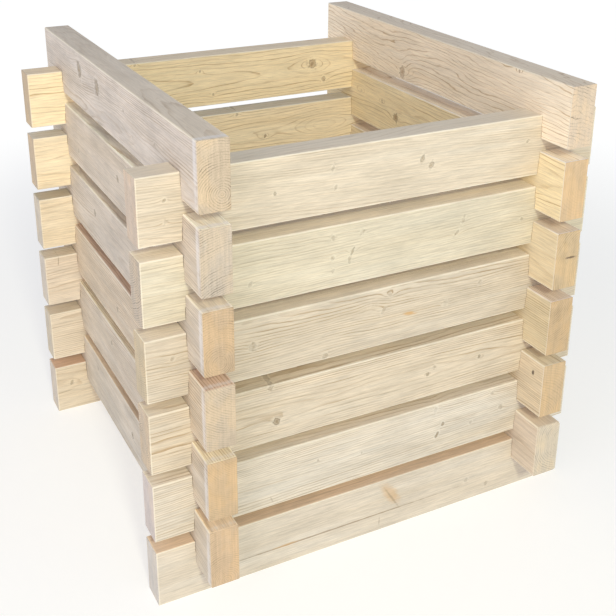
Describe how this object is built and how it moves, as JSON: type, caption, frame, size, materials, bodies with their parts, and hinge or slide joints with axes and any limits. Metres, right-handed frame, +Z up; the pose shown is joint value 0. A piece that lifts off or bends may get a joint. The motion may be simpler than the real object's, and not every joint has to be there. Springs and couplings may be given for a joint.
{
  "type": "wooden composter",
  "caption": "Open-topped square composter of thick notched softwood boards stacked log-cabin style, with air gaps between boards and ends that run past the corners.",
  "frame": {"origin": "centre of the footprint, on the ground under the lowest front and back boards", "axes": "+X along the front wall from the left wall to the right wall, +Y from the front wall to the back wall, +Z up; a half turn about Z leaves the part unchanged"},
  "size_m": [0.75, 0.75, 0.734],
  "materials": {
    "front_boards": "planed, untreated pale softwood with knots",
    "back_boards": "planed, untreated pale softwood with knots",
    "left_boards": "planed, untreated pale softwood with knots",
    "right_boards": "planed, untreated pale softwood with knots"
  },
  "bodies": {
    "base": {"front_board_1": "front_boards", "back_board_1": "back_boards"},
    "left_board_1": {"left_board_1": "left_boards"},
    "right_board_1": {"right_board_1": "right_boards"},
    "front_board_2": {"front_board_2": "front_boards"},
    "back_board_2": {"back_board_2": "back_boards"},
    "left_board_2": {"left_board_2": "left_boards"},
    "right_board_2": {"right_board_2": "right_boards"},
    "front_board_3": {"front_board_3": "front_boards"},
    "back_board_3": {"back_board_3": "back_boards"},
    "left_board_3": {"left_board_3": "left_boards"},
    "right_board_3": {"right_board_3": "right_boards"},
    "front_board_4": {"front_board_4": "front_boards"},
    "back_board_4": {"back_board_4": "back_boards"},
    "left_board_4": {"left_board_4": "left_boards"},
    "right_board_4": {"right_board_4": "right_boards"},
    "front_board_5": {"front_board_5": "front_boards"},
    "back_board_5": {"back_board_5": "back_boards"},
    "left_board_5": {"left_board_5": "left_boards"},
    "right_board_5": {"right_board_5": "right_boards"},
    "front_board_6": {"front_board_6": "front_boards"},
    "back_board_6": {"back_board_6": "back_boards"},
    "left_board_6": {"left_board_6": "left_boards"},
    "right_board_6": {"right_board_6": "right_boards"}
  },
  "joints": [
    {"name": "lift_left_board_1", "type": "slide", "parent": "base", "child": "left_board_1", "axis": [0, 0, 1], "range_m": [0, 0.06]},
    {"name": "lift_right_board_1", "type": "slide", "parent": "base", "child": "right_board_1", "axis": [0, 0, 1], "range_m": [0, 0.06]},
    {"name": "lift_front_board_2", "type": "slide", "parent": "left_board_1", "child": "front_board_2", "axis": [0, 0, 1], "range_m": [0, 0.06]},
    {"name": "lift_back_board_2", "type": "slide", "parent": "left_board_1", "child": "back_board_2", "axis": [0, 0, 1], "range_m": [0, 0.06]},
    {"name": "lift_left_board_2", "type": "slide", "parent": "front_board_2", "child": "left_board_2", "axis": [0, 0, 1], "range_m": [0, 0.06]},
    {"name": "lift_right_board_2", "type": "slide", "parent": "front_board_2", "child": "right_board_2", "axis": [0, 0, 1], "range_m": [0, 0.06]},
    {"name": "lift_front_board_3", "type": "slide", "parent": "left_board_2", "child": "front_board_3", "axis": [0, 0, 1], "range_m": [0, 0.06]},
    {"name": "lift_back_board_3", "type": "slide", "parent": "left_board_2", "child": "back_board_3", "axis": [0, 0, 1], "range_m": [0, 0.06]},
    {"name": "lift_left_board_3", "type": "slide", "parent": "front_board_3", "child": "left_board_3", "axis": [0, 0, 1], "range_m": [0, 0.06]},
    {"name": "lift_right_board_3", "type": "slide", "parent": "front_board_3", "child": "right_board_3", "axis": [0, 0, 1], "range_m": [0, 0.06]},
    {"name": "lift_front_board_4", "type": "slide", "parent": "left_board_3", "child": "front_board_4", "axis": [0, 0, 1], "range_m": [0, 0.06]},
    {"name": "lift_back_board_4", "type": "slide", "parent": "left_board_3", "child": "back_board_4", "axis": [0, 0, 1], "range_m": [0, 0.06]},
    {"name": "lift_left_board_4", "type": "slide", "parent": "front_board_4", "child": "left_board_4", "axis": [0, 0, 1], "range_m": [0, 0.06]},
    {"name": "lift_right_board_4", "type": "slide", "parent": "front_board_4", "child": "right_board_4", "axis": [0, 0, 1], "range_m": [0, 0.06]},
    {"name": "lift_front_board_5", "type": "slide", "parent": "left_board_4", "child": "front_board_5", "axis": [0, 0, 1], "range_m": [0, 0.06]},
    {"name": "lift_back_board_5", "type": "slide", "parent": "left_board_4", "child": "back_board_5", "axis": [0, 0, 1], "range_m": [0, 0.06]},
    {"name": "lift_left_board_5", "type": "slide", "parent": "front_board_5", "child": "left_board_5", "axis": [0, 0, 1], "range_m": [0, 0.06]},
    {"name": "lift_right_board_5", "type": "slide", "parent": "front_board_5", "child": "right_board_5", "axis": [0, 0, 1], "range_m": [0, 0.06]},
    {"name": "lift_front_board_6", "type": "slide", "parent": "left_board_5", "child": "front_board_6", "axis": [0, 0, 1], "range_m": [0, 0.06]},
    {"name": "lift_back_board_6", "type": "slide", "parent": "left_board_5", "child": "back_board_6", "axis": [0, 0, 1], "range_m": [0, 0.06]},
    {"name": "lift_left_board_6", "type": "slide", "parent": "front_board_6", "child": "left_board_6", "axis": [0, 0, 1], "range_m": [0, 0.06]},
    {"name": "lift_right_board_6", "type": "slide", "parent": "front_board_6", "child": "right_board_6", "axis": [0, 0, 1], "range_m": [0, 0.06]}
  ],
  "couplings": [
    {"joint": "lift_right_board_1", "follows": "lift_left_board_1", "ratio": 1},
    {"joint": "lift_back_board_2", "follows": "lift_front_board_2", "ratio": 1},
    {"joint": "lift_right_board_2", "follows": "lift_left_board_2", "ratio": 1},
    {"joint": "lift_back_board_3", "follows": "lift_front_board_3", "ratio": 1},
    {"joint": "lift_right_board_3", "follows": "lift_left_board_3", "ratio": 1},
    {"joint": "lift_back_board_4", "follows": "lift_front_board_4", "ratio": 1},
    {"joint": "lift_right_board_4", "follows": "lift_left_board_4", "ratio": 1},
    {"joint": "lift_back_board_5", "follows": "lift_front_board_5", "ratio": 1},
    {"joint": "lift_right_board_5", "follows": "lift_left_board_5", "ratio": 1},
    {"joint": "lift_back_board_6", "follows": "lift_front_board_6", "ratio": 1}
  ]
}
